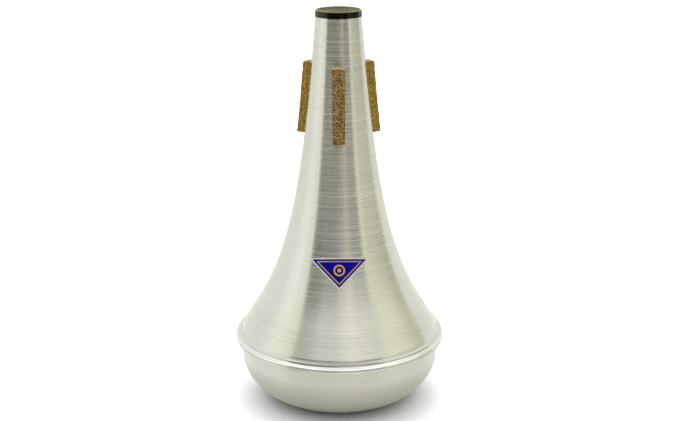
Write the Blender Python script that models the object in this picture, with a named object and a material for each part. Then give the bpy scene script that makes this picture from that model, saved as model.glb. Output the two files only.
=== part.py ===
# Straight mute for a bass trombone: a spun aluminium cone crimped into a spun
# aluminium bowl, with a plastic edge strip round the mouth, three glued cork
# strips and a thin label plate. Metres, +Z up, the flat foot of the bowl on z = 0.

import math

import bmesh
import bpy

# Sheet metal and fits
SHEET = 0.0008
GAP = 0.0003

# Overall heights
SEAM_HEIGHT = 0.04785
CONE_HEIGHT = 0.24740

# Cone: outer radius at the mouth, steady taper, and the flare towards the foot
MOUTH_RADIUS = 0.01655
TAPER = 0.0712
FLARE_FADE = 0.0570
SKIRT_TOP = 0.0270
FOOT_CORNER = 0.00360
FOOT_BEND = 0.0020

# Rolled bead of the bowl, which is crimped over the foot of the cone
BEAD_RADIUS = 0.0800
BEAD_ROOM = 0.00258
LIP_HEIGHT = 0.0051
LIP_TILT = math.radians(47)
LIP_EDGE = 0.0004
STEP_WALL = 0.00058
LEDGE_FOOT = 0.0041
STEP_FOOT = 0.0026
UPPER_ROLL = 0.00095
UPPER_ROLL_SET_BACK = 0.00205
UPPER_ROLL_HEIGHT = 0.0018
UPPER_ROLL_START = math.radians(115)
UPPER_ROLL_END = math.radians(-20)
MIDDLE_ROLL = 0.00075
MIDDLE_ROLL_START = math.radians(110)
MIDDLE_ROLL_END = math.radians(20)
LOWER_ROLL = 0.0025
LOWER_ROLL_INSIDE_END = math.radians(35)

# Bowl: straight wall, shoulder curve, base curve and flat foot
WALL_SET_BACK = 0.00492
NECK_FILLET = 0.0010
WALL_DROP = 0.01345
SHOULDER_RADIUS = 0.02972
SHOULDER_TURN = math.radians(27.97)

# Mouth edge strip: a U section pushed over the edge of the cone
TRIM_WALL = 0.00035
TRIM_HEIGHT = 0.00505
TRIM_CREST = 0.00090
TRIM_SPLIT_AT = math.radians(68)
TRIM_SPLIT = 0.0004

# Corks
CORK_LENGTH = 0.0536
CORK_FROM_MOUTH = 0.0381
CORK_WIDTH_TOP = 0.0093
CORK_WIDTH_FOOT = 0.0090
CORK_THICKNESS = 0.0071
CORK_SPREAD = math.radians(116)

# Label plate: a flat triangle wrapped on the flare, point down, with a blunt tip
LABEL_WIDTH = 0.0444
LABEL_DROP = 0.0230
LABEL_TOP = 0.0742
LABEL_THICKNESS = 0.0003
LABEL_TIP = 0.0006

# How finely the shapes are divided
TURN_STEPS = 48
ARC_SAG = 0.00006
FLARE_STEPS = 13
CREST_STEPS = 6
CORK_ROWS = 10
CORK_COLUMNS = 4
LABEL_ROWS = 8
LABEL_COLUMNS = 8
MERGE_DISTANCE = 0.00001
SHARP_ANGLE = math.radians(35)

# Directions in a section: tilts above level, with the outside at 0
DOWN = math.radians(-90)
UP = math.radians(90)
INWARD = math.radians(180)
FULL_TURN = math.radians(360)

# Values that follow from the ones above
FOOT_RADIUS = BEAD_RADIUS - SHEET - BEAD_ROOM
WALL_RADIUS = BEAD_RADIUS - WALL_SET_BACK


def flare_swell():
    """Size of the flare term that brings the skirt to the foot radius."""
    fade_top = math.exp(-SKIRT_TOP / FLARE_FADE)
    fade_mouth = math.exp(-CONE_HEIGHT / FLARE_FADE)
    run = SKIRT_TOP - FOOT_CORNER
    taper_part = MOUTH_RADIUS + TAPER * (CONE_HEIGHT - FOOT_CORNER)
    return (FOOT_RADIUS - taper_part) / (fade_top * (1 + run / FLARE_FADE) - fade_mouth)


FLARE_SWELL = flare_swell()


def cone_slope(height):
    """How fast the cone widens downwards at a height above the seam."""
    level = max(height, SKIRT_TOP)
    return TAPER + FLARE_SWELL / FLARE_FADE * math.exp(-level / FLARE_FADE)


def cone_radius(height):
    """Outer radius of the cone at a height above the seam."""
    level = max(height, SKIRT_TOP)
    fade = math.exp(-level / FLARE_FADE) - math.exp(-CONE_HEIGHT / FLARE_FADE)
    radius = MOUTH_RADIUS + TAPER * (CONE_HEIGHT - level) + FLARE_SWELL * fade
    return radius + cone_slope(height) * (level - height)


SKIRT_TILT = math.atan(cone_slope(0))


def along(point, tilt, distance):
    """Point moved by a distance in the direction of a tilt above level."""
    return (point[0] + distance * math.cos(tilt), point[1] + distance * math.sin(tilt))


def steps_between(start, end, count):
    """Evenly spaced values from start to end, both included."""
    return [start + (end - start) * i / count for i in range(count + 1)]


def arc(centre, radius, start, end):
    """Points on an arc between two tilts, close enough for chords to look round."""
    step = 2 * math.acos(1 - ARC_SAG / radius)
    count = math.ceil(abs(end - start) / step)
    return [along(centre, tilt, radius) for tilt in steps_between(start, end, count)]


def plain_material(name, colour, roughness, metallic):
    material = bpy.data.materials.new(name)
    material.use_nodes = True
    shader = material.node_tree.nodes["Principled BSDF"]
    shader.inputs["Base Color"].default_value = (*colour, 1)
    shader.inputs["Roughness"].default_value = roughness
    shader.inputs["Metallic"].default_value = metallic
    material.diffuse_color = (*colour, 1)
    return material


def finish(name, shape, material):
    """Turn a bmesh into a named object with outward faces and smooth shading."""
    bmesh.ops.recalc_face_normals(shape, faces=shape.faces)
    mesh = bpy.data.meshes.new(name)
    shape.to_mesh(mesh)
    shape.free()
    mesh.materials.append(material)
    mesh.shade_smooth()
    mesh.set_sharp_from_angle(angle=SHARP_ANGLE)
    part = bpy.data.objects.new(name, mesh)
    bpy.context.scene.collection.objects.link(part)
    return part


def section_edges(shell, section):
    """Vertices and edges of an open section, given as (radius, height)."""
    points = [shell.verts.new((radius, 0, height)) for radius, height in section]
    return points + [shell.edges.new(pair) for pair in zip(points, points[1:])]


def turned(name, section, material):
    """Full turn of a section about the axis of the mute."""
    shell = bmesh.new()
    bmesh.ops.spin(
        shell, geom=section_edges(shell, section), cent=(0, 0, 0), axis=(0, 0, 1),
        angle=FULL_TURN, steps=TURN_STEPS, use_merge=True,
    )
    bmesh.ops.remove_doubles(shell, verts=shell.verts, dist=MERGE_DISTANCE)
    return finish(name, shell, material)


def clear_scene():
    for item in list(bpy.data.objects):
        bpy.data.objects.remove(item)


def make_cone(material):
    """Spun cone: flare, straight skirt, and a foot turned down inside the bead."""
    bend_drop = FOOT_BEND * math.tan(SKIRT_TILT / 2)
    bend_centre = (FOOT_RADIUS - FOOT_BEND, FOOT_CORNER - bend_drop)
    foot_end = -LOWER_ROLL + SHEET + GAP
    heights = steps_between(CONE_HEIGHT, SKIRT_TOP, FLARE_STEPS)

    outer = [(cone_radius(height), height) for height in heights]
    outer += arc(bend_centre, FOOT_BEND, SKIRT_TILT, 0)
    outer.append((FOOT_RADIUS, foot_end))

    inner = [(FOOT_RADIUS - SHEET, foot_end)]
    inner += arc(bend_centre, FOOT_BEND - SHEET, 0, SKIRT_TILT)
    for height in reversed(heights[1:]):
        square_on = math.atan(cone_slope(height))
        inner.append(along((cone_radius(height), height), square_on, -SHEET))
    inner.append((MOUTH_RADIUS - SHEET, CONE_HEIGHT))
    return turned("body_cone", outer + inner + outer[:1], material)


def make_bowl(material):
    """Spun bowl whose rim is rolled out, up and over the foot of the cone."""
    lip_under = along((cone_radius(LIP_HEIGHT), LIP_HEIGHT), SKIRT_TILT, GAP)
    lip_top = along(lip_under, LIP_TILT, LIP_EDGE)
    rim_inside = FOOT_RADIUS + GAP
    step_radius = rim_inside + STEP_WALL
    upper = (BEAD_RADIUS - UPPER_ROLL_SET_BACK, UPPER_ROLL_HEIGHT)
    lower = (BEAD_RADIUS - LOWER_ROLL, 0)
    middle = along(lower, MIDDLE_ROLL_END, LOWER_ROLL - MIDDLE_ROLL)
    neck = (WALL_RADIUS + NECK_FILLET, -LOWER_ROLL - NECK_FILLET)
    shoulder = (WALL_RADIUS - SHOULDER_RADIUS, -WALL_DROP)
    turn_point = along(shoulder, -SHOULDER_TURN, SHOULDER_RADIUS)
    base_radius = (SEAM_HEIGHT + turn_point[1]) / (1 - math.sin(SHOULDER_TURN))
    base = along(turn_point, -SHOULDER_TURN, -base_radius)

    outer = [lip_top, (step_radius, LEDGE_FOOT), (step_radius, STEP_FOOT)]
    outer += arc(upper, UPPER_ROLL, UPPER_ROLL_START, UPPER_ROLL_END)
    outer += arc(middle, MIDDLE_ROLL, MIDDLE_ROLL_START, MIDDLE_ROLL_END)
    outer += arc(lower, LOWER_ROLL, MIDDLE_ROLL_END, DOWN)[1:]
    outer += arc(neck, NECK_FILLET, UP, INWARD)
    outer += arc(shoulder, SHOULDER_RADIUS, 0, -SHOULDER_TURN)
    outer += arc(base, base_radius, -SHOULDER_TURN, DOWN)[1:]
    outer.append((0, -SEAM_HEIGHT))

    inner = [(0, -SEAM_HEIGHT + SHEET)]
    inner += arc(base, base_radius - SHEET, DOWN, -SHOULDER_TURN)
    inner += arc(shoulder, SHOULDER_RADIUS - SHEET, -SHOULDER_TURN, 0)[1:]
    inner += arc(neck, NECK_FILLET + SHEET, INWARD, UP)
    inner += arc(lower, LOWER_ROLL - SHEET, DOWN, LOWER_ROLL_INSIDE_END)
    inner.append((rim_inside, UPPER_ROLL_HEIGHT))
    inner.append((rim_inside, FOOT_CORNER))
    inner.append(lip_under)
    return turned("end_bowl", inner + outer, material)


def make_trim(material):
    """Split U section strip over the mouth edge, open at one butt joint."""
    groove_top = CONE_HEIGHT + GAP
    low = groove_top + TRIM_CREST - TRIM_HEIGHT
    groove_width = SHEET + 2 * GAP
    outside_low = cone_radius(low) + GAP
    outside_top = MOUTH_RADIUS + GAP
    half_width = groove_width / 2 + TRIM_WALL
    middle = outside_top - groove_width / 2

    section = [(outside_low, low), (outside_low + TRIM_WALL, low)]
    for tilt in steps_between(0, INWARD, CREST_STEPS):
        radius = middle + half_width * math.cos(tilt)
        section.append((radius, groove_top + TRIM_CREST * math.sin(tilt)))
    section.append((outside_low - groove_width - TRIM_WALL, low))
    section.append((outside_low - groove_width, low))
    section.append((outside_top - groove_width, groove_top))
    section.append((outside_top, groove_top))

    split_turn = TRIM_SPLIT / MOUTH_RADIUS
    strip = bmesh.new()
    end_face = strip.faces.new([strip.verts.new((radius, 0, height)) for radius, height in section])
    bmesh.ops.spin(
        strip, geom=[end_face], cent=(0, 0, 0), axis=(0, 0, 1),
        angle=FULL_TURN - split_turn, steps=TURN_STEPS,
    )
    trim = finish("mouth_trim", strip, material)
    trim.rotation_euler.z = TRIM_SPLIT_AT + DOWN + split_turn / 2
    return trim


def wrapped_plate(rows):
    """Closed plate from rows of (seat point, way out to the face above it)."""
    plate = bmesh.new()
    seat = [[plate.verts.new(point) for point, _ in row] for row in rows]
    face = []
    for row in rows:
        face.append([plate.verts.new([p + n for p, n in zip(*cell)]) for cell in row])
    last_row = len(rows) - 1
    last_column = len(rows[0]) - 1
    for i in range(last_row):
        for j in range(last_column):
            cell = ((i, j), (i, j + 1), (i + 1, j + 1), (i + 1, j))
            plate.faces.new([seat[row][column] for row, column in cell])
            plate.faces.new([face[row][column] for row, column in cell])
    rim = [(0, j) for j in range(last_column)]
    rim += [(i, last_column) for i in range(last_row)]
    rim += [(last_row, j) for j in range(last_column, 0, -1)]
    rim += [(i, 0) for i in range(last_row, 0, -1)]
    for (i, j), (k, m) in zip(rim, rim[1:] + rim[:1]):
        plate.faces.new((seat[i][j], seat[k][m], face[k][m], face[i][j]))
    return plate


def make_cork(name, turn, material):
    """Cork strip, hollowed to sit on the cone and flat on its outer face."""
    top = CONE_HEIGHT - CORK_FROM_MOUTH
    rows = []
    for share in steps_between(0, 1, CORK_ROWS):
        height = top - CORK_LENGTH * share
        half = (CORK_WIDTH_TOP + (CORK_WIDTH_FOOT - CORK_WIDTH_TOP) * share) / 2
        seat = cone_radius(height) + GAP
        face = cone_radius(height) + CORK_THICKNESS
        row = []
        for across in steps_between(-half, half, CORK_COLUMNS):
            depth = math.sqrt(seat * seat - across * across)
            row.append(((across, -depth, height), (0, depth - face, 0)))
        rows.append(row)
    cork = finish(name, wrapped_plate(rows), material)
    cork.rotation_euler.z = turn
    return cork


def make_label(material):
    """Thin triangular plate, point down, wrapped on the flare like flat stock."""
    middle = LABEL_TOP - LABEL_DROP / 2
    lean = math.atan(cone_slope(middle))
    slant = cone_radius(middle) / math.sin(lean)
    rows = []
    for share in steps_between(0, 1, LABEL_ROWS):
        half = (LABEL_WIDTH + (LABEL_TIP - LABEL_WIDTH) * share) / 2
        reach = slant + (share - 0.5) * LABEL_DROP
        row = []
        for across in steps_between(-half, half, LABEL_COLUMNS):
            distance = math.hypot(across, reach)
            turn = math.atan2(across, reach) / math.sin(lean)
            height = middle - (distance - slant) * math.cos(lean)
            seat = cone_radius(height) + GAP
            side, front = math.sin(turn), -math.cos(turn)
            out = (side * LABEL_THICKNESS, front * LABEL_THICKNESS, 0)
            row.append(((side * seat, front * seat, height), out))
        rows.append(row)
    return finish("label_plate", wrapped_plate(rows), material)


clear_scene()

brushed = plain_material("brushed_aluminium", (0.70, 0.70, 0.66), 0.30, 1.0)
satin = plain_material("satin_aluminium", (0.74, 0.74, 0.71), 0.34, 1.0)
black_strip = plain_material("black_edge_strip", (0.03, 0.03, 0.022), 0.35, 0.0)
cork_brown = plain_material("composition_cork", (0.36, 0.20, 0.09), 0.85, 0.0)
blue_face = plain_material("blue_label", (0.02, 0.015, 0.45), 0.35, 0.0)

seam = bpy.data.objects.new("seam_plane", None)
seam.location.z = SEAM_HEIGHT
bpy.context.scene.collection.objects.link(seam)

pieces = [
    make_cone(brushed),
    make_bowl(satin),
    make_trim(black_strip),
    make_cork("cork_front", 0, cork_brown),
    make_cork("cork_left", -CORK_SPREAD, cork_brown),
    make_cork("cork_right", CORK_SPREAD, cork_brown),
    make_label(blue_face),
]
for piece in pieces:
    piece.parent = seam
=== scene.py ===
# Straight mute for a bass trombone: the finished looks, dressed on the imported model.

import math
import random

import bmesh
import bpy
from mathutils import Matrix, Vector, noise


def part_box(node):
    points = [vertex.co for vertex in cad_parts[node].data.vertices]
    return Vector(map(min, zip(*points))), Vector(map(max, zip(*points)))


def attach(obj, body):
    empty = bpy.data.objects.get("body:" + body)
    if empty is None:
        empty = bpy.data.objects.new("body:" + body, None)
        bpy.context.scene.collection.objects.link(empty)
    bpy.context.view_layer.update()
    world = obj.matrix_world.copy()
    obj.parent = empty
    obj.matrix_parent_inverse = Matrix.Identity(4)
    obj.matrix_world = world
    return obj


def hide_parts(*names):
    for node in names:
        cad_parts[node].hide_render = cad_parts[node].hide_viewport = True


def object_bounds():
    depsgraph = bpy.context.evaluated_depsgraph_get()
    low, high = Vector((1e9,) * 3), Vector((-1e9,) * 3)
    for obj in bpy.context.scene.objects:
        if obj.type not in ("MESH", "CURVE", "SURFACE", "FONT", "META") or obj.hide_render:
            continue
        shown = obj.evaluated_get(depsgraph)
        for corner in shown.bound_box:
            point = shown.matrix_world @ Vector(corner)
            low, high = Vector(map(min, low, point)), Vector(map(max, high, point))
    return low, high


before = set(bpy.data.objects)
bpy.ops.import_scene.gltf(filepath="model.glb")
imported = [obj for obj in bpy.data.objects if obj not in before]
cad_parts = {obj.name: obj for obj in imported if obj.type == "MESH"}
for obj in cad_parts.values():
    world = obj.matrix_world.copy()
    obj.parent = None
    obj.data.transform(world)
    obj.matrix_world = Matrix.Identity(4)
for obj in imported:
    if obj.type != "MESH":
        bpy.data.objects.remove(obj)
cad_low, cad_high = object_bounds()


# The cone is spun from one sheet of aluminium: a long steady taper from the mouth,
# a flare, and a straight skirt whose foot is turned down inside the seam. Its outside
# is brushed on the lathe, which leaves fine lines round and round.

CONE_NODE = "body_cone"
SHEET = 0.0008
TAPER = 0.0712
FLARE_FADE = 0.0570
SKIRT_TOP = 0.0270
FOOT_CORNER = 0.00360
CREASE_HEIGHT = 0.0061
CREASE_BEND = 0.0004
CREASE_FOOT = (0.07531, 0.0050)
FLARE_ROWS = 60
SKIRT_ROWS = 10
TURN_STEPS = 240
MERGE_DISTANCE = 0.000001

cone_low, cone_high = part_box(CONE_NODE)
bowl_low, bowl_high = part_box("end_bowl")
BEAD_RADIUS = bowl_high.x
BEAD_ROOM = 0.00258
FOOT_RADIUS = BEAD_RADIUS - SHEET - BEAD_ROOM
MOUTH_RADIUS = 0.01655
CONE_HEIGHT = 0.24740
SEAM = cone_high.z - CONE_HEIGHT


def flare_swell():
    fade_top = math.exp(-SKIRT_TOP / FLARE_FADE)
    fade_mouth = math.exp(-CONE_HEIGHT / FLARE_FADE)
    run = SKIRT_TOP - FOOT_CORNER
    taper_part = MOUTH_RADIUS + TAPER * (CONE_HEIGHT - FOOT_CORNER)
    return (FOOT_RADIUS - taper_part) / (fade_top * (1 + run / FLARE_FADE) - fade_mouth)


FLARE_SWELL = flare_swell()


def cone_slope(height):
    """How fast the cone widens downwards at a height above the seam."""
    level = max(height, SKIRT_TOP)
    return TAPER + FLARE_SWELL / FLARE_FADE * math.exp(-level / FLARE_FADE)


def cone_radius(height):
    """Outer radius of the cone at a height above the seam."""
    level = max(height, SKIRT_TOP)
    fade = math.exp(-level / FLARE_FADE) - math.exp(-CONE_HEIGHT / FLARE_FADE)
    radius = MOUTH_RADIUS + TAPER * (CONE_HEIGHT - level) + FLARE_SWELL * fade
    return radius + cone_slope(height) * (level - height)


def along(point, tilt, distance):
    return (point[0] + distance * math.cos(tilt), point[1] + distance * math.sin(tilt))


def steps_between(start, end, count):
    return [start + (end - start) * i / count for i in range(count + 1)]


def arc(centre, radius, start, end, count):
    return [along(centre, tilt, radius) for tilt in steps_between(start, end, count)]


def dressed(shape, name, materials, node, smooth_to=math.radians(35)):
    """A named piece that rides on the root body and stands for a node."""
    mesh = bpy.data.meshes.new(name)
    shape.to_mesh(mesh)
    shape.free()
    for material in materials:
        mesh.materials.append(material)
    mesh.shade_smooth()
    mesh.set_sharp_from_angle(angle=smooth_to)
    piece = bpy.data.objects.new(name, mesh)
    bpy.context.scene.collection.objects.link(piece)
    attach(piece, "root")
    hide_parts(node)
    return piece


def turned(section):
    """Full turn of a closed section of (radius, height above the seam) about the axis."""
    shell = bmesh.new()
    points = [shell.verts.new((radius, 0, SEAM + height)) for radius, height in section]
    edges = [shell.edges.new(pair) for pair in zip(points, points[1:])]
    bmesh.ops.spin(
        shell, geom=points + edges, cent=(0, 0, 0), axis=(0, 0, 1),
        angle=math.tau, steps=TURN_STEPS, use_merge=True,
    )
    bmesh.ops.remove_doubles(shell, verts=shell.verts, dist=MERGE_DISTANCE)
    bmesh.ops.recalc_face_normals(shell, faces=shell.faces)
    return shell


def add(tree, kind, inputs=None, **settings):
    """A shader node with its settings, its values and its links."""
    made = tree.nodes.new(kind)
    for name, value in settings.items():
        setattr(made, name, value)
    for socket, value in (inputs or {}).items():
        if isinstance(value, bpy.types.NodeSocket):
            tree.links.new(value, made.inputs[socket])
        else:
            made.inputs[socket].default_value = value
    return made


def math_node(tree, operation, *values, clamp=False):
    made = add(tree, "ShaderNodeMath", dict(enumerate(values)), operation=operation)
    made.use_clamp = clamp
    return made.outputs[0]


def mixed(tree, factor, first, second):
    """Colour between two colours."""
    made = add(tree, "ShaderNodeMix", data_type="RGBA")
    for socket, value in ((0, factor), (6, first), (7, second)):
        if isinstance(value, bpy.types.NodeSocket):
            tree.links.new(value, made.inputs[socket])
        else:
            made.inputs[socket].default_value = value
    return made.outputs[2]


def lathe_lines_group():
    """Fine lines that run round the axis, as one height between 0 and 1."""
    group = bpy.data.node_groups.new("lathe_lines", "ShaderNodeTree")
    sockets = (("Reach", -1.0), ("Lines", 1000.0), ("Spread", 12.0))
    for name, value in sockets:
        made = group.interface.new_socket(name, in_out="INPUT", socket_type="NodeSocketFloat")
        made.default_value = value
    group.interface.new_socket("Height", in_out="OUTPUT", socket_type="NodeSocketFloat")
    given = group.nodes.new("NodeGroupInput").outputs
    put = group.nodes.new("NodeGroupOutput").inputs
    place = add(group, "ShaderNodeTexCoord").outputs["Object"]
    split = add(group, "ShaderNodeSeparateXYZ", {0: place}).outputs
    across = add(group, "ShaderNodeCombineXYZ", {0: split[0], 1: split[1]}).outputs[0]
    radius = add(group, "ShaderNodeVectorMath", {0: across}, operation="LENGTH").outputs["Value"]
    run = math_node(group, "MULTIPLY_ADD", radius, given["Reach"], split[2])
    line = math_node(group, "MULTIPLY", run, given["Lines"])
    side_x = math_node(group, "MULTIPLY", split[0], given["Spread"])
    side_y = math_node(group, "MULTIPLY", split[1], given["Spread"])
    spot = add(group, "ShaderNodeCombineXYZ", {0: side_x, 1: side_y, 2: line}).outputs[0]
    grain = add(
        group, "ShaderNodeTexNoise", {"Vector": spot, "Scale": 1.0, "Detail": 1.5, "Roughness": 0.5},
    ).outputs[0]
    group.links.new(grain, put["Height"])
    return group


lathe_lines = lathe_lines_group()


def lines(tree, reach, count, spread):
    made = add(tree, "ShaderNodeGroup", node_tree=lathe_lines)
    made.inputs["Reach"].default_value = reach
    made.inputs["Lines"].default_value = count
    made.inputs["Spread"].default_value = spread
    return made.outputs[0]


def height_band(tree, low, high, soft):
    """One between two heights above the seam, falling to nothing over the soft edge."""
    place = add(tree, "ShaderNodeTexCoord").outputs["Object"]
    height = add(tree, "ShaderNodeSeparateXYZ", {0: place}).outputs[2]
    rising = add(tree, "ShaderNodeMapRange", {
        0: height, 1: SEAM + low - soft, 2: SEAM + low + soft,
    }, interpolation_type="SMOOTHSTEP").outputs[0]
    falling = add(tree, "ShaderNodeMapRange", {
        0: height, 1: SEAM + high - soft, 2: SEAM + high + soft, 3: 1.0, 4: 0.0,
    }, interpolation_type="SMOOTHSTEP").outputs[0]
    return math_node(tree, "MULTIPLY", rising, falling)


def brushed_metal(name, reach, colour, dark, bump, uneven, polished=None, painted_shade_bands=None):
    """Lathe-brushed aluminium; a rolled band round it may be polished, and narrow bands painted darker as painted
    shade.
    """
    material = bpy.data.materials.new(name)
    material.use_nodes = True
    tree = material.node_tree
    shader = tree.nodes["Principled BSDF"]
    shader.inputs["Metallic"].default_value = 1.0
    shader.inputs["Anisotropic"].default_value = BRUSH_ANISOTROPY
    fine = lines(tree, reach, FINE_LINES, FINE_SPREAD)
    broad = lines(tree, reach, BROAD_LINES, BROAD_SPREAD)
    rings = lines(tree, reach, RING_LINES, RING_SPREAD)
    both = math_node(tree, "MULTIPLY_ADD", fine, 0.5, math_node(tree, "MULTIPLY", broad, 0.5))
    grain = add(
        tree, "ShaderNodeMapRange", {0: both, 1: 0.39, 2: 0.54}, interpolation_type="SMOOTHSTEP",
    ).outputs[0]
    worn = mixed(tree, grain, colour, dark)
    low_down = height_band(tree, *SKIRT_RINGS)
    ring_tone = math_node(tree, "MULTIPLY_ADD", low_down, SKIRT_RING_TONE - RING_TONE, RING_TONE)
    ringed = add(tree, "ShaderNodeMapRange", {0: rings, 1: 0.35, 2: 0.65, 3: ring_tone, 4: 1.0}).outputs[0]
    finish = add(tree, "ShaderNodeVectorMath", {0: worn, 1: ringed}, operation="MULTIPLY").outputs[0]
    rough = add(tree, "ShaderNodeMapRange", {
        0: grain, 1: 0.0, 2: 1.0, 3: BRUSH_ROUGHNESS + 1.2 * uneven, 4: BRUSH_ROUGHNESS - 0.7 * uneven,
    }).outputs[0]
    if polished:
        low, high, soft, polish_colour, polish_roughness = polished
        mask = height_band(tree, low, high, soft)
        finish = mixed(tree, mask, finish, polish_colour)
        smoother = math_node(tree, "SUBTRACT", polish_roughness, rough)
        rough = math_node(tree, "MULTIPLY_ADD", mask, smoother, rough)
    # Painted shade: each band darkens the finish towards a dull grey where the seam falls into shade.
    if painted_shade_bands:
        for low, high, soft, share in painted_shade_bands:
            painted_shade_share = math_node(tree, "MULTIPLY", height_band(tree, low, high, soft), share)
            finish = mixed(tree, painted_shade_share, finish, PAINTED_SHADE_COLOUR)
    tree.links.new(finish, shader.inputs["Base Color"])
    tree.links.new(rough, shader.inputs["Roughness"])
    relief = add(tree, "ShaderNodeBump", {"Height": grain, "Distance": bump, "Strength": 1.0})
    tree.links.new(relief.outputs[0], shader.inputs["Normal"])
    upward = add(tree, "ShaderNodeCombineXYZ", {2: 1.0}).outputs[0]
    tree.links.new(upward, shader.inputs["Tangent"])
    return material


def dull_metal(name, colour, dark, roughness):
    """Bare sheet that was never brushed: matt, and mottled by handling."""
    material = bpy.data.materials.new(name)
    material.use_nodes = True
    tree = material.node_tree
    shader = tree.nodes["Principled BSDF"]
    shader.inputs["Metallic"].default_value = 0.6
    place = add(tree, "ShaderNodeTexCoord").outputs["Object"]
    mottle = add(tree, "ShaderNodeTexNoise", {
        "Vector": place, "Scale": MOTTLE, "Detail": 4.0, "Roughness": 0.7,
    }).outputs[0]
    spread = add(tree, "ShaderNodeMapRange", {0: mottle, 1: 0.35, 2: 0.65}).outputs[0]
    tree.links.new(mixed(tree, spread, dark, colour), shader.inputs["Base Color"])
    shader.inputs["Roughness"].default_value = roughness
    relief = add(tree, "ShaderNodeBump", {"Height": mottle, "Distance": 0.00002, "Strength": 1.0})
    tree.links.new(relief.outputs[0], shader.inputs["Normal"])
    return material


def cone_section():
    foot_end = cone_low.z - SEAM
    heights = steps_between(CONE_HEIGHT, SKIRT_TOP, FLARE_ROWS)
    heights += steps_between(SKIRT_TOP, CREASE_HEIGHT + CREASE_BEND, SKIRT_ROWS)[1:]
    heights.append(CREASE_HEIGHT)
    outer = [(cone_radius(height), height) for height in heights]
    outer += [CREASE_FOOT, (FOOT_RADIUS, foot_end)]
    inner = [(FOOT_RADIUS - SHEET, foot_end), (CREASE_FOOT[0] - SHEET, CREASE_FOOT[1])]
    for height in reversed(heights[1:-1]):
        square_on = math.atan(cone_slope(height))
        inner.append(along((cone_radius(height), height), square_on, -SHEET))
    inner.append((MOUTH_RADIUS - SHEET, CONE_HEIGHT))
    return outer + inner + outer[:1]


FINE_LINES = 1600
FINE_SPREAD = 15
BROAD_LINES = 740
BROAD_SPREAD = 4
RING_LINES = 330
RING_SPREAD = 1.5
RING_TONE = 0.965
SKIRT_RING_TONE = 0.91
SKIRT_RINGS = (0.010, 0.027, 0.008)
BRUSH_ROUGHNESS = 0.296
BRUSH_ANISOTROPY = 0.934
MOTTLE = 1300

cone_metal = brushed_metal(
    "brushed_aluminium", -1.0, (0.85, 0.85, 0.755, 1), (0.822, 0.822, 0.730, 1), 0.0000026, 0.037,
)
inside_metal = dull_metal("bare_inside", (0.95, 0.94, 0.78, 1), (0.62, 0.61, 0.48, 1), 0.55)
cone = dressed(
    turned(cone_section()), "cone_brushed", (cone_metal, inside_metal), CONE_NODE,
)
for face in cone.data.polygons:
    if face.center.xy.dot(face.normal.xy) < 0:
        face.material_index = 1


# The bowl closes the wide end: spun from thicker sheet and left satin. Its rim is
# rolled out, up and over the foot of the cone, which leaves the ring at the seam:
# lip, sloping ledge, small step, upper roll, groove and the fat lower roll.

LIP_UNDER = (0.07537, 0.00484)
LIP_TOP = (0.07539, 0.00497)
CRIMP_GAP = 0.0003
INSIDE_ROLL = 0.0025
INSIDE_ROLL_END = math.radians(35)
INSIDE_RIM_FOOT = 0.0018
SEAM_BEADS = (
    (0.00258, 0.00414), (0.00250, 0.00407), (0.00226, 0.00274), (0.00210, 0.00256),
    (0.00188, 0.00280), (0.00172, 0.00292), (0.00160, 0.00288), (0.00100, 0.00215), (0.00104, 0.00200),
    (0.00106, 0.00190), (0.00094, 0.00182), (0.00028, 0.00104), (0.00008, 0.00070),
    (0.0, 0.00030), (0.00006, 0.00010), (0.00034, -0.00002), (0.00030, -0.00016),
    (0.00040, -0.00050), (0.00080, -0.00106), (0.00030, -0.00158), (0.00018, -0.00180),
    (0.00024, -0.00206), (0.00060, -0.00236), (0.00130, -0.00250),
)
WALL_SET_BACK = 0.00492
NECK_FILLET = 0.0010
WALL_DROP = 0.01345
SHOULDER_RADIUS = 0.02972
SHOULDER_TURN = math.radians(27.97)
WALL_RADIUS = BEAD_RADIUS - WALL_SET_BACK


def bowl_section():
    rim_inside = FOOT_RADIUS + CRIMP_GAP
    roll = (BEAD_RADIUS - INSIDE_ROLL, 0)
    neck = (WALL_RADIUS + NECK_FILLET, -INSIDE_ROLL - NECK_FILLET)
    shoulder = (WALL_RADIUS - SHOULDER_RADIUS, -WALL_DROP)
    turn_point = along(shoulder, -SHOULDER_TURN, SHOULDER_RADIUS)
    base_radius = (SEAM - bowl_low.z + turn_point[1]) / (1 - math.sin(SHOULDER_TURN))
    base = along(turn_point, -SHOULDER_TURN, -base_radius)
    down, up, inward = math.radians(-90), math.radians(90), math.radians(180)
    outer = [LIP_TOP] + [(BEAD_RADIUS - set_back, height) for set_back, height in SEAM_BEADS]
    outer += arc(neck, NECK_FILLET, up, inward, 6)
    outer += arc(shoulder, SHOULDER_RADIUS, 0, -SHOULDER_TURN, 10)
    outer += arc(base, base_radius, -SHOULDER_TURN, down, 24)[1:]
    outer.append((0, bowl_low.z - SEAM))
    inner = [(0, bowl_low.z - SEAM + SHEET)]
    inner += arc(base, base_radius - SHEET, down, -SHOULDER_TURN, 16)
    inner += arc(shoulder, SHOULDER_RADIUS - SHEET, -SHOULDER_TURN, 0, 8)[1:]
    inner += arc(neck, NECK_FILLET + SHEET, inward, up, 5)
    inner += arc(roll, INSIDE_ROLL - SHEET, down, INSIDE_ROLL_END, 8)
    inner.append((rim_inside, INSIDE_RIM_FOOT))
    inner.append((rim_inside, FOOT_CORNER))
    inner.append(LIP_UNDER)
    return inner + outer


POLISHED_RING = (0.00060, 0.00300, 0.00008, (0.95, 0.95, 0.93, 1), 0.17)
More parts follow.
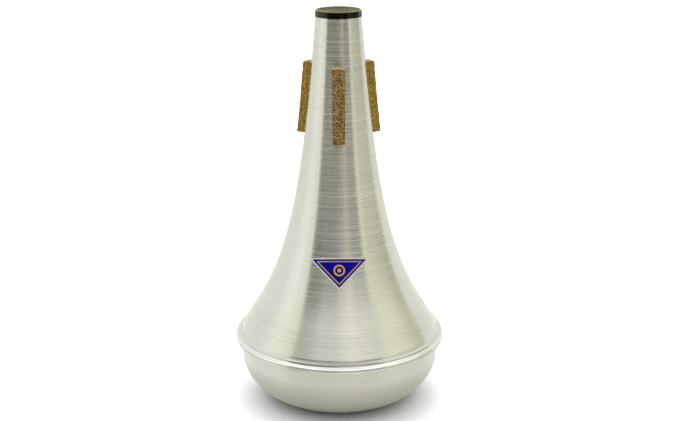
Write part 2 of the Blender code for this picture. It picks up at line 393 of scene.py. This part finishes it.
# Painted shade in the seam, as low, high, soft edge and share: the step wall, the groove between the rolls and the
# crease round the widest part of the lower roll.
SEAM_PAINTED_SHADE = ((0.00300, 0.00385, 0.00015, 0.5), (0.00185, 0.00212, 0.00006, 0.35), (-0.00025, 0.00045, 0.00010, 0.5))
PAINTED_SHADE_COLOUR = (0.40, 0.39, 0.34, 1)

bowl_metal = brushed_metal(
    "satin_aluminium", 1.0, (0.84, 0.84, 0.80, 1), (0.815, 0.815, 0.775, 1), 0.0000020, 0.012,
    polished=POLISHED_RING, painted_shade_bands=SEAM_PAINTED_SHADE,
)
dressed(turned(bowl_section()), "bowl_satin", (bowl_metal,), "end_bowl")


# The edge strip is a black plastic U section pushed over the cut edge of the mouth.
# Its two ends butt at the right front; on the real strip one end stands a little proud, which is not modelled here.

TRIM_WALL = 0.0003
TRIM_HEIGHT = 0.00485
TRIM_INNER_LEG = 0.0005
TRIM_CREST = 0.00070
TRIM_SPLIT_AT = math.radians(61.8)
TRIM_SPLIT = 0.0006
TRIM_GAP = 0.00005
TRIM_SEAT = 0.0003
TRIM_PAINTED_HIGHLIGHT_LOW = 0.00055
TRIM_HIGHLIGHT_SOFT_EDGE = 0.0002
PALE_PAINTED_LIGHT = (0.34, 0.365, 0.21, 1)
TRIM_INSIDE = 0.0159
OLIVE = (1.0, 1.0, 0.45, 1)


def plastic(name, colour, roughness, grain):
    """Black plastic, painted pale along the crest as a highlight and on the inner leg as painted light."""
    material = bpy.data.materials.new(name)
    material.use_nodes = True
    tree = material.node_tree
    shader = tree.nodes["Principled BSDF"]
    place = add(tree, "ShaderNodeTexCoord").outputs["Object"]
    speckle = add(tree, "ShaderNodeTexNoise", {"Vector": place, "Scale": grain, "Detail": 4.0}).outputs[0]
    paler = tuple(min(1.0, value * 1.6) for value in colour)
    black = mixed(tree, speckle, (*colour, 1), (*paler, 1))
    # Painted highlight along the crest, and painted light on the inner leg: both get the pale colour.
    crest = height_band(tree, CONE_HEIGHT + TRIM_PAINTED_HIGHLIGHT_LOW, CONE_HEIGHT + TRIM_HEIGHT, TRIM_HIGHLIGHT_SOFT_EDGE)
    flat = add(tree, "ShaderNodeVectorMath", {0: place, 1: (1.0, 1.0, 0.0)}, operation="MULTIPLY").outputs[0]
    reach = add(tree, "ShaderNodeVectorMath", {0: flat}, operation="LENGTH").outputs["Value"]
    inside = math_node(tree, "LESS_THAN", reach, TRIM_INSIDE)
    pale = math_node(tree, "MAXIMUM", crest, inside)
    tree.links.new(mixed(tree, pale, black, PALE_PAINTED_LIGHT), shader.inputs["Base Color"])
    shader.inputs["Roughness"].default_value = roughness
    shader.inputs["Specular Tint"].default_value = OLIVE
    relief = add(tree, "ShaderNodeBump", {"Height": speckle, "Distance": 0.00001, "Strength": 1.0})
    tree.links.new(relief.outputs[0], shader.inputs["Normal"])
    return material


def trim_shape():
    groove_top = CONE_HEIGHT + TRIM_SEAT
    low = groove_top + TRIM_CREST - TRIM_HEIGHT
    inner_low = groove_top - TRIM_INNER_LEG
    groove_width = SHEET + 2 * TRIM_GAP
    outside_low = cone_radius(low) + TRIM_GAP
    outside_top = MOUTH_RADIUS + TRIM_GAP
    half_width = groove_width / 2 + TRIM_WALL
    middle = outside_top - groove_width / 2
    section = [(outside_low, low), (outside_low + TRIM_WALL, low)]
    for tilt in steps_between(0, math.pi, 12):
        radius = middle + half_width * math.cos(tilt)
        section.append((radius, groove_top + TRIM_CREST * math.sin(tilt)))
    section.append((outside_top - groove_width - TRIM_WALL, inner_low))
    section.append((outside_top - groove_width, inner_low))
    section.append((outside_top - groove_width, groove_top))
    section.append((outside_top, groove_top))
    strip = bmesh.new()
    verts = [strip.verts.new((radius, 0, SEAM + height)) for radius, height in section]
    end_face = strip.faces.new(verts)
    split_turn = TRIM_SPLIT / MOUTH_RADIUS
    bmesh.ops.spin(
        strip, geom=[end_face], cent=(0, 0, 0), axis=(0, 0, 1),
        angle=math.tau - split_turn, steps=TURN_STEPS,
    )
    start = TRIM_SPLIT_AT - math.radians(90) + split_turn / 2
    bmesh.ops.rotate(strip, verts=strip.verts, cent=(0, 0, 0), matrix=Matrix.Rotation(start, 3, "Z"))
    bmesh.ops.recalc_face_normals(strip, faces=strip.faces)
    for face in strip.faces:
        face.material_index = 1 if len(face.verts) > 4 else 0
    return strip


black_plastic = plastic("black_edge_strip", (0.0035, 0.0035, 0.0022), 0.24, 900.0)
# The strip's end faces are painted pale as a highlight at the joint.
end_highlight_plastic = plastic("strip_end_painted_highlight", (0.45, 0.45, 0.34), 0.5, 900.0)
dressed(trim_shape(), "mouth_edge_strip", (black_plastic, end_highlight_plastic), "mouth_trim")


# The corks are strips of composition cork, granules pressed in a binder and cut with
# a knife, glued to the cone with their inner side hollowed to fit. The cut edges are
# rough, and granules have broken out of them.

CORK_LENGTH = 0.0536
CORK_FROM_MOUTH = 0.0381
CORK_WIDTH_TOP = 0.0093
CORK_WIDTH_FOOT = 0.0090
CORK_THICKNESS = 0.0071
CORK_SPREAD = math.radians(116)
CORK_SEAT = 0.0001
CORK_ROWS = 110
CORK_COLUMNS = 20
CORK_LAYERS = 14
CORK_ROUGH = 0.00020
CORK_CHIP = 0.0011
# The end faces are lighter partly as cut cork and partly as painted light from above.
CORK_FACES = (
    ("cork_skin", ((0.10, 0.042, 0.010), (0.29, 0.152, 0.038), (0.56, 0.33, 0.110), (1.00, 0.76, 0.38))),
    ("cork_cut_side", ((0.18, 0.092, 0.008), (0.41, 0.238, 0.027), (0.59, 0.376, 0.056), (0.95, 0.71, 0.22))),
    ("cork_cut_end_painted_light", ((0.40, 0.24, 0.07), (0.62, 0.42, 0.14), (0.85, 0.62, 0.27), (0.95, 0.82, 0.48))),
)
CORK_TONES = (0.0, 0.3, 0.7, 1.0)


def cork_grain_group():
    """Pressed granules: a tone for each one, and their height above the binder."""
    group = bpy.data.node_groups.new("cork_grain", "ShaderNodeTree")
    made = group.interface.new_socket("Granules", in_out="INPUT", socket_type="NodeSocketFloat")
    made.default_value = 1900.0
    for name in ("Tone", "Height"):
        group.interface.new_socket(name, in_out="OUTPUT", socket_type="NodeSocketFloat")
    given = group.nodes.new("NodeGroupInput").outputs
    put = group.nodes.new("NodeGroupOutput").inputs
    place = add(group, "ShaderNodeTexCoord").outputs["Object"]
    cells = add(group, "ShaderNodeTexVoronoi", {"Vector": place, "Scale": given["Granules"]})
    shade = add(group, "ShaderNodeSeparateXYZ", {0: cells.outputs["Color"]}).outputs[0]
    drift = add(group, "ShaderNodeTexNoise", {"Vector": place, "Scale": 420.0, "Detail": 3.0}).outputs[0]
    centred = math_node(group, "MULTIPLY", math_node(group, "SUBTRACT", drift, 0.5), 0.9)
    gap = math_node(group, "MULTIPLY", cells.outputs["Distance"], 0.55)
    tone = math_node(group, "SUBTRACT", math_node(group, "ADD", shade, centred), gap)
    group.links.new(math_node(group, "ADD", tone, 0.18, clamp=True), put["Tone"])
    group.links.new(math_node(group, "SUBTRACT", 1.0, cells.outputs["Distance"]), put["Height"])
    return group


cork_grain = cork_grain_group()


def cork_material(name, tones):
    material = bpy.data.materials.new(name)
    material.use_nodes = True
    tree = material.node_tree
    shader = tree.nodes["Principled BSDF"]
    grain = add(tree, "ShaderNodeGroup", node_tree=cork_grain)
    ramp = add(tree, "ShaderNodeValToRGB", {0: grain.outputs["Tone"]})
    stops = ramp.color_ramp.elements
    for position in CORK_TONES[1:-1]:
        stops.new(position)
    for stop, colour in zip(stops, tones):
        stop.color = (*colour, 1)
    tree.links.new(ramp.outputs[0], shader.inputs["Base Color"])
    shader.inputs["Roughness"].default_value = 0.85
    relief = add(tree, "ShaderNodeBump", {
        "Height": grain.outputs["Height"], "Distance": 0.00025, "Strength": 0.8,
    })
    tree.links.new(relief.outputs[0], shader.inputs["Normal"])
    return material


def cork_shape(turn, seed):
    """A block of the cork's size, bent on to the cone, then roughened by its granules."""
    block = bmesh.new()
    bmesh.ops.create_cube(block, size=1)
    for axis, cuts in ((0, CORK_COLUMNS), (1, CORK_LAYERS), (2, CORK_ROWS)):
        long_edges = [
            edge for edge in block.edges
            if abs((edge.verts[0].co - edge.verts[1].co)[axis]) > 0.5
        ]
        bmesh.ops.subdivide_edges(block, edges=long_edges, cuts=cuts - 1, use_grid_fill=True)
    for face in block.faces:
        facing = max(range(3), key=lambda axis: abs(face.normal[axis]))
        face.material_index = (1, 0, 2)[facing]
    top = CONE_HEIGHT - CORK_FROM_MOUTH
    random.seed(seed)
    noise.seed_set(seed)
    offset = Vector((random.random(), random.random(), random.random())) * 50
    for vert in block.verts:
        share = 0.5 - vert.co.z
        height = top - CORK_LENGTH * share
        across = vert.co.x * (CORK_WIDTH_TOP + (CORK_WIDTH_FOOT - CORK_WIDTH_TOP) * share)
        seat = cone_radius(height) + CORK_SEAT
        depth = math.sqrt(seat * seat - across * across)
        face = cone_radius(height) + CORK_THICKNESS
        out = depth + (0.5 - vert.co.y) * (face - depth)
        place = Vector((across, -out, height))
        inward = Vector((
            -math.copysign(abs(vert.co.x) > 0.49, vert.co.x),
            float(vert.co.y < -0.49),
            -math.copysign(abs(vert.co.z) > 0.49, vert.co.z),
        ))
        if inward.length > 0:
            lump = noise.noise_vector(place * 1300 + offset) + noise.noise_vector(place * 450 + offset)
            if vert.co.y > 0.49:
                lump.y = 0
            place += lump * CORK_ROUGH
        if inward.length > 1.1 and vert.co.y < 0.49:
            place += inward * CORK_CHIP * max(0.0, noise.noise(place * 700 + offset) - 0.12)
        vert.co = Matrix.Rotation(turn, 3, "Z") @ (place + Vector((0, 0, SEAM)))
    bmesh.ops.recalc_face_normals(block, faces=block.faces)
    return block


cork_finishes = [cork_material(name, tones) for name, tones in CORK_FACES]
CORK_TURNS = (("cork_front", 0), ("cork_left", -CORK_SPREAD), ("cork_right", CORK_SPREAD))
for cork_number, (cork_node, cork_turn) in enumerate(CORK_TURNS, start=1):
    dressed(
        cork_shape(cork_turn, cork_number), cork_node + "_strip", cork_finishes, cork_node,
        smooth_to=math.radians(60),
    )


# The label is a thin triangular plate, point down, glued on the flare. Its face is
# deep blue enamel inside a narrow cream edge, with a plain gold line that follows the
# edges and a small ring.

LABEL_WIDTH = 0.0444
LABEL_DROP = 0.0230
LABEL_TOP = 0.0742
LABEL_THICKNESS = 0.0003
LABEL_TIP = 0.0006
LABEL_GAP = 0.0001
LABEL_CUTS = 20
LABEL_EDGE = 0.00090
LABEL_LINES = ((0.0023, 0.0030),)
LABEL_RING_DROP = 0.0092
LABEL_RINGS = ((0.0030, 0.0042), (-1.0, 0.0014))
LABEL_SOFT = 0.00008
LABEL_BLUE = (0.001, 0.001, 0.42, 1)
LABEL_DEEP_BLUE = (0.004, 0.004, 0.32, 1)
LABEL_CREAM = (0.95, 0.93, 0.74, 1)
LABEL_GOLD = (0.95, 0.56, 0.01, 1)


def label_material():
    """Blue enamel; the lines are drawn from the flat label, kept as its own map."""
    material = bpy.data.materials.new("label_enamel")
    material.use_nodes = True
    tree = material.node_tree
    shader = tree.nodes["Principled BSDF"]
    flat = add(tree, "ShaderNodeUVMap", uv_map="flat_label").outputs[0]
    u, v = add(tree, "ShaderNodeSeparateXYZ", {0: flat}).outputs[:2]
    across = math_node(tree, "MULTIPLY", math_node(tree, "ABSOLUTE", math_node(tree, "SUBTRACT", u, 0.5)), LABEL_WIDTH)
    below = math_node(tree, "MULTIPLY", math_node(tree, "SUBTRACT", 1.0, v), LABEL_WIDTH)
    half = LABEL_WIDTH / 2
    slant = math.hypot(half, LABEL_DROP)
    from_side = math_node(
        tree, "SUBTRACT",
        math_node(tree, "MULTIPLY", math_node(tree, "SUBTRACT", half, across), LABEL_DROP / slant),
        math_node(tree, "MULTIPLY", below, half / slant),
    )
    inside = math_node(tree, "MINIMUM", below, from_side)
    ring_centre = math_node(tree, "SUBTRACT", below, LABEL_RING_DROP)
    offset = add(tree, "ShaderNodeCombineXYZ", {0: across, 1: ring_centre}).outputs[0]
    from_ring = add(tree, "ShaderNodeVectorMath", {0: offset}, operation="LENGTH").outputs["Value"]

    def band(value, low, high):
        rising = add(tree, "ShaderNodeMapRange", {0: value, 1: low - LABEL_SOFT, 2: low + LABEL_SOFT})
        falling = add(tree, "ShaderNodeMapRange", {
            0: value, 1: high - LABEL_SOFT, 2: high + LABEL_SOFT, 3: 1.0, 4: 0.0,
        })
        return math_node(tree, "MULTIPLY", rising.outputs[0], falling.outputs[0])

    place = add(tree, "ShaderNodeTexCoord").outputs["Object"]
    cloud = add(tree, "ShaderNodeTexNoise", {"Vector": place, "Scale": 350.0, "Detail": 4.0}).outputs[0]
    colour = mixed(tree, cloud, LABEL_BLUE, LABEL_DEEP_BLUE)
    gold = 0.0
    for low, high in LABEL_LINES:
        gold = math_node(tree, "MAXIMUM", gold, band(inside, low, high))
    for low, high in LABEL_RINGS:
        gold = math_node(tree, "MAXIMUM", gold, band(from_ring, low, high))
    colour = mixed(tree, gold, colour, LABEL_GOLD)
    colour = mixed(tree, band(inside, -1.0, LABEL_EDGE), colour, LABEL_CREAM)
    tree.links.new(colour, shader.inputs["Base Color"])
    shader.inputs["Roughness"].default_value = 0.42
    shader.inputs["Specular IOR Level"].default_value = 0.12
    relief = add(tree, "ShaderNodeBump", {"Height": gold, "Distance": 0.00003, "Strength": 1.0})
    tree.links.new(relief.outputs[0], shader.inputs["Normal"])
    return material


def label_shape():
    """A flat blunt triangle with a thickness, cut up finely and then wrapped on the flare."""
    plate = bmesh.new()
    outline = (
        (-LABEL_WIDTH / 2, 0), (LABEL_WIDTH / 2, 0), (LABEL_TIP / 2, -LABEL_DROP), (-LABEL_TIP / 2, -LABEL_DROP),
    )
    seat = plate.faces.new([plate.verts.new((across, 0, level)) for across, level in outline])
    raised = bmesh.ops.extrude_face_region(plate, geom=[seat])
    front = [item for item in raised["geom"] if isinstance(item, bmesh.types.BMVert)]
    bmesh.ops.translate(plate, verts=front, vec=(0, -LABEL_THICKNESS, 0))
    for share in steps_between(-0.5, 0.5, LABEL_CUTS)[1:-1]:
        for point, way in (
            ((share * LABEL_WIDTH, 0, 0), (1, 0, 0)),
            ((0, 0, (share - 0.5) * LABEL_DROP), (0, 0, 1)),
        ):
            everything = plate.verts[:] + plate.edges[:] + plate.faces[:]
            bmesh.ops.bisect_plane(plate, geom=everything, dist=MERGE_DISTANCE, plane_co=point, plane_no=way)
    flat_map = plate.loops.layers.uv.new("flat_label")
    for face in plate.faces:
        for loop in face.loops:
            spot = loop.vert.co
            loop[flat_map].uv = (0.5 + spot.x / LABEL_WIDTH, 1 + spot.z / LABEL_WIDTH)
    middle = LABEL_TOP - LABEL_DROP / 2
    lean = math.atan(cone_slope(middle))
    slant = cone_radius(middle) / math.sin(lean)
    for vert in plate.verts:
        across, out, level = vert.co
        reach = slant - level - LABEL_DROP / 2
        distance = math.hypot(across, reach)
        turn = math.atan2(across, reach) / math.sin(lean)
        height = middle - (distance - slant) * math.cos(lean)
        radius = cone_radius(height) + LABEL_GAP - out
        vert.co = (math.sin(turn) * radius, -math.cos(turn) * radius, SEAM + height)
    bmesh.ops.recalc_face_normals(plate, faces=plate.faces)
    return plate


dressed(label_shape(), "label_triangle", (label_material(),), "label_plate")


# The mute stands on a white floor in a white tent, open in front towards a dim room,
# with soft light from above and from both sides.

LENS = 67.72
SENSOR = 36
CAMERA_AT = (0.00067, -0.9239, 0.42255)
CAMERA_TILT = math.radians(90 - 16.735)
CAMERA_ROLL = math.radians(-0.18)


# The tent glows evenly; these are the dark openings in it, then what shines through
# them: where each starts and ends to the right of the viewer's side, how high it
# reaches, how soft its edges are, and its strength. Angles are in degrees.
TENT_LEVEL = 1.0
TENT_BLUE = 1.12
OPENINGS = (
    (-75, -58, 40, 3.0, 8, 0.15),
    (-58, -33, 36, 1.2, 4, 1.0),
    (-33, -1, 31, 1.0, 4, 1.0),
    (-1, 49, 23.5, 1.0, 4, 1.0),
    (61, 114, 12, 3.0, 4, 0.84),
    (108, 138, 90, 8.0, 4, 0.20),
    (49, 63, 40, 2.0, 8, 0.32),
    (63, 93, 40, 3.0, 8, 0.08),
    (93, 108, 30, 3.0, 5, 0.17),
    (-165, -102, 90, 7.0, 4, 0.17),
    (138, 180, 90, 7.0, 4, 0.14),
    (-106, -99, 90, 1.5, 4, 0.06),
    (103, 107, 90, 1.2, 4, 0.08),
    (113, 118, 90, 1.2, 4, 0.06),
)
SOFTBOX = (-95, 100, 53, 10, 5, 0.58)
SOFTBOX_TOP = 66
BACKLIGHT = (148, 400, 36, 8.0, 5, 0.2)
BACKLIGHT_TOP = 74
ZENITH = (63, 6, 0.45)
WARM_STRIPE = (10, 23, 32, 2.5, 12, 0.27)
WARM_TINT = (1.0, 0.66, 0.42, 1)
CREAM_LOW = (-62, 118, 26, 6, 8, 0.23)
CREAM_HIGH = (
    (-136, 136, -90, 14, 8, 0.035),
    (-195, -124, 12, 8, 10, 0.13),
    (-124, -62, 20, 8, 8, 0.18),
    (-62, 62, 26, 8, 8, 0.08),
    (62, 104, 22, 8, 8, 0.17),
    (104, 195, 12, 8, 10, 0.15),
)


def studio_world():
    world = bpy.data.worlds.new("studio")
    bpy.context.scene.world = world
    world.use_nodes = True
    tree = world.node_tree
    tree.nodes.clear()
    aim = add(tree, "ShaderNodeTexCoord").outputs["Generated"]
    split = add(tree, "ShaderNodeSeparateXYZ", {0: aim}).outputs
    toward = math_node(tree, "MULTIPLY", split[1], -1.0)
    turn = math_node(tree, "ARCTAN2", split[0], toward)
    rise = math_node(tree, "ARCSINE", split[2])

    def ramp(value, at, soft, low=0.0, high=1.0):
        begin, finish = math.radians(at - soft), math.radians(at + soft)
        return add(
            tree, "ShaderNodeMapRange", {0: value, 1: begin, 2: finish, 3: low, 4: high},
            interpolation_type="SMOOTHSTEP",
        ).outputs[0]

    def patch(start, end, top, soft, soft_top, strength, below=True, across=turn):
        sides = math_node(tree, "MULTIPLY", ramp(across, start, soft), ramp(across, end, soft, 1.0, 0.0))
        height = ramp(rise, top, soft_top, 1.0, 0.0) if below else ramp(rise, top, soft_top)
        return math_node(tree, "MULTIPLY", math_node(tree, "MULTIPLY", sides, height), strength)

    light = TENT_LEVEL
    for opening in OPENINGS:
        left = math_node(tree, "SUBTRACT", 1.0, patch(*opening))
        light = math_node(tree, "MULTIPLY", light, left)
    zenith_at, zenith_soft, zenith_dim = ZENITH
    light = math_node(tree, "MULTIPLY", light, ramp(rise, zenith_at, zenith_soft, 1.0, 1.0 - zenith_dim))
    above = math_node(tree, "MULTIPLY", patch(*SOFTBOX, below=False), ramp(rise, SOFTBOX_TOP, 5, 1.0, 0.0))
    light = math_node(tree, "ADD", light, above)
    from_front = math_node(tree, "ABSOLUTE", turn)
    lamp = patch(*BACKLIGHT, below=False, across=from_front)
    lamp = math_node(tree, "MULTIPLY", lamp, ramp(rise, BACKLIGHT_TOP, 5, 1.0, 0.0))
    light = math_node(tree, "ADD", light, lamp)
    cream = patch(*CREAM_LOW)
    for side in CREAM_HIGH:
        cream = math_node(tree, "ADD", cream, patch(*side, below=False))
    blue = math_node(tree, "MULTIPLY", math_node(tree, "SUBTRACT", 1.0, cream), TENT_BLUE)
    tint = add(tree, "ShaderNodeCombineXYZ", {0: 1.0, 1: 1.0, 2: blue}).outputs[0]
    room = add(tree, "ShaderNodeBackground", {"Color": tint, "Strength": light})
    glow = add(tree, "ShaderNodeBackground", {"Color": WARM_TINT, "Strength": patch(*WARM_STRIPE)})
    lit = add(tree, "ShaderNodeAddShader", {0: room.outputs[0], 1: glow.outputs[0]})
    white = add(tree, "ShaderNodeBackground", {"Color": (1, 1, 1, 1), "Strength": 1.0})
    path = add(tree, "ShaderNodeLightPath").outputs
    seen = math_node(tree, "MAXIMUM", path["Is Camera Ray"], path["Is Transmission Ray"])
    both = add(tree, "ShaderNodeMixShader", {0: seen, 1: lit.outputs[0], 2: white.outputs[0]})
    add(tree, "ShaderNodeOutputWorld", {0: both.outputs[0]})


studio_world()

TABLE_FRONT = -0.95
TABLE_BACK = 4.0
TABLE_HALF_WIDTH = 3.0
TABLE_WHITE = (0.65, 0.65, 0.65, 1)
TABLE_SEEN = (1.80, 1.80, 1.94, 1)
# Painted light and shade on the table as it shows in reflections: darker close in front of the foot, lighter far off
# and behind, dimmer towards the horizon.
TABLE_MIRRORED = (0.80, 0.80, 0.75, 1)
TABLE_MIRRORED_FAR = (1.18, 1.18, 1.12, 1)
TABLE_MIRRORED_BEHIND = (1.24, 1.24, 1.22, 1)
TABLE_MIRRORED_EDGE = (0.90, 0.90, 0.86, 1)
TABLE_MIRRORED_HORIZON = (0.88, 0.88, 0.83, 1)
TABLE_TURNS_FAR = (0.11, 0.17)
TABLE_TURNS_BRIGHT = (-0.06, 0.10)
TABLE_TURNS_HORIZON = (0.40, 0.90)
# Painted shadow: the white seen on the table is darkened round the foot, a little towards the front; TABLE_SHADE is
# start, end and darkest share.
TABLE_SHADE_FORWARD = 0.012
TABLE_SHADE = (0.036, 0.100, 0.38)

table_shape = bmesh.new()
bmesh.ops.create_grid(table_shape, x_segments=1, y_segments=1, size=1)
table_depth = (TABLE_BACK - TABLE_FRONT) / 2
bmesh.ops.scale(table_shape, verts=table_shape.verts, vec=(TABLE_HALF_WIDTH, table_depth, 1))
table_middle = (0, TABLE_FRONT + table_depth, cad_low.z - 0.00005)
bmesh.ops.translate(table_shape, verts=table_shape.verts, vec=table_middle)
table_mesh = bpy.data.meshes.new("white_table")
table_shape.to_mesh(table_mesh)
table_shape.free()
table = bpy.data.objects.new("white_table", table_mesh)
bpy.context.scene.collection.objects.link(table)
table_white = bpy.data.materials.new("table_white")
table_white.use_nodes = True
table_tree = table_white.node_tree
table_tree.nodes.clear()
table_path = add(table_tree, "ShaderNodeLightPath").outputs
table_spot = add(table_tree, "ShaderNodeTexCoord").outputs["Object"]
table_flat = add(table_tree, "ShaderNodeSeparateXYZ", {0: table_spot}).outputs
table_round = add(table_tree, "ShaderNodeCombineXYZ", {0: table_flat[0], 1: table_flat[1]}).outputs[0]
table_reach = add(table_tree, "ShaderNodeVectorMath", {0: table_round}, operation="LENGTH").outputs["Value"]
table_forward = math_node(table_tree, "ADD", table_flat[1], TABLE_SHADE_FORWARD)
shade_round = add(table_tree, "ShaderNodeCombineXYZ", {0: table_flat[0], 1: table_forward}).outputs[0]
shade_reach = add(table_tree, "ShaderNodeVectorMath", {0: shade_round}, operation="LENGTH").outputs["Value"]
# Painted shadow round the foot.
shade_start, shade_end, shade_level = TABLE_SHADE
table_shade = add(table_tree, "ShaderNodeMapRange", {
    0: shade_reach, 1: shade_start, 2: shade_end, 3: shade_level, 4: 1.0,
}, interpolation_type="SMOOTHSTEP").outputs[0]
bright_start, bright_end = TABLE_TURNS_BRIGHT
table_depth_share = add(table_tree, "ShaderNodeMapRange", {
    0: table_flat[1], 1: bright_start, 2: bright_end,
}, interpolation_type="SMOOTHSTEP").outputs[0]
far_start, far_end = TABLE_TURNS_FAR
table_far_share = add(table_tree, "ShaderNodeMapRange", {
    0: table_reach, 1: far_start, 2: far_end,
}, interpolation_type="SMOOTHSTEP").outputs[0]
# Painted shade near the front, painted light far off and behind.
table_front = mixed(table_tree, table_far_share, TABLE_MIRRORED, TABLE_MIRRORED_FAR)
horizon_start, horizon_end = TABLE_TURNS_HORIZON
table_horizon_share = add(table_tree, "ShaderNodeMapRange", {
    0: table_reach, 1: horizon_start, 2: horizon_end,
}, interpolation_type="SMOOTHSTEP").outputs[0]
table_front = mixed(table_tree, table_horizon_share, table_front, TABLE_MIRRORED_EDGE)
table_behind = mixed(table_tree, table_horizon_share, TABLE_MIRRORED_BEHIND, TABLE_MIRRORED_HORIZON)
table_mirrored_painted_light = mixed(table_tree, table_depth_share, table_front, table_behind)
table_seen = add(table_tree, "ShaderNodeVectorMath", {0: TABLE_SEEN[:3], 1: table_shade}, operation="MULTIPLY")
table_glossy = mixed(table_tree, table_path["Is Glossy Ray"], TABLE_WHITE, table_mirrored_painted_light)
table_colour = mixed(table_tree, table_path["Is Camera Ray"], table_glossy, table_seen.outputs[0])
table_matt = add(table_tree, "ShaderNodeBsdfDiffuse", {"Color": table_colour})
add(table_tree, "ShaderNodeOutputMaterial", {0: table_matt.outputs[0]})
table_mesh.materials.append(table_white)

camera_data = bpy.data.cameras.new("photo_camera")
camera_data.lens = LENS
camera_data.sensor_width = SENSOR
camera = bpy.data.objects.new("photo_camera", camera_data)
camera.location = CAMERA_AT
aim = Matrix.Rotation(CAMERA_TILT, 3, "X") @ Matrix.Rotation(CAMERA_ROLL, 3, "Z")
camera.rotation_euler = aim.to_euler()
bpy.context.scene.collection.objects.link(camera)
bpy.context.scene.camera = camera
bpy.context.scene.view_settings.view_transform = "Standard"
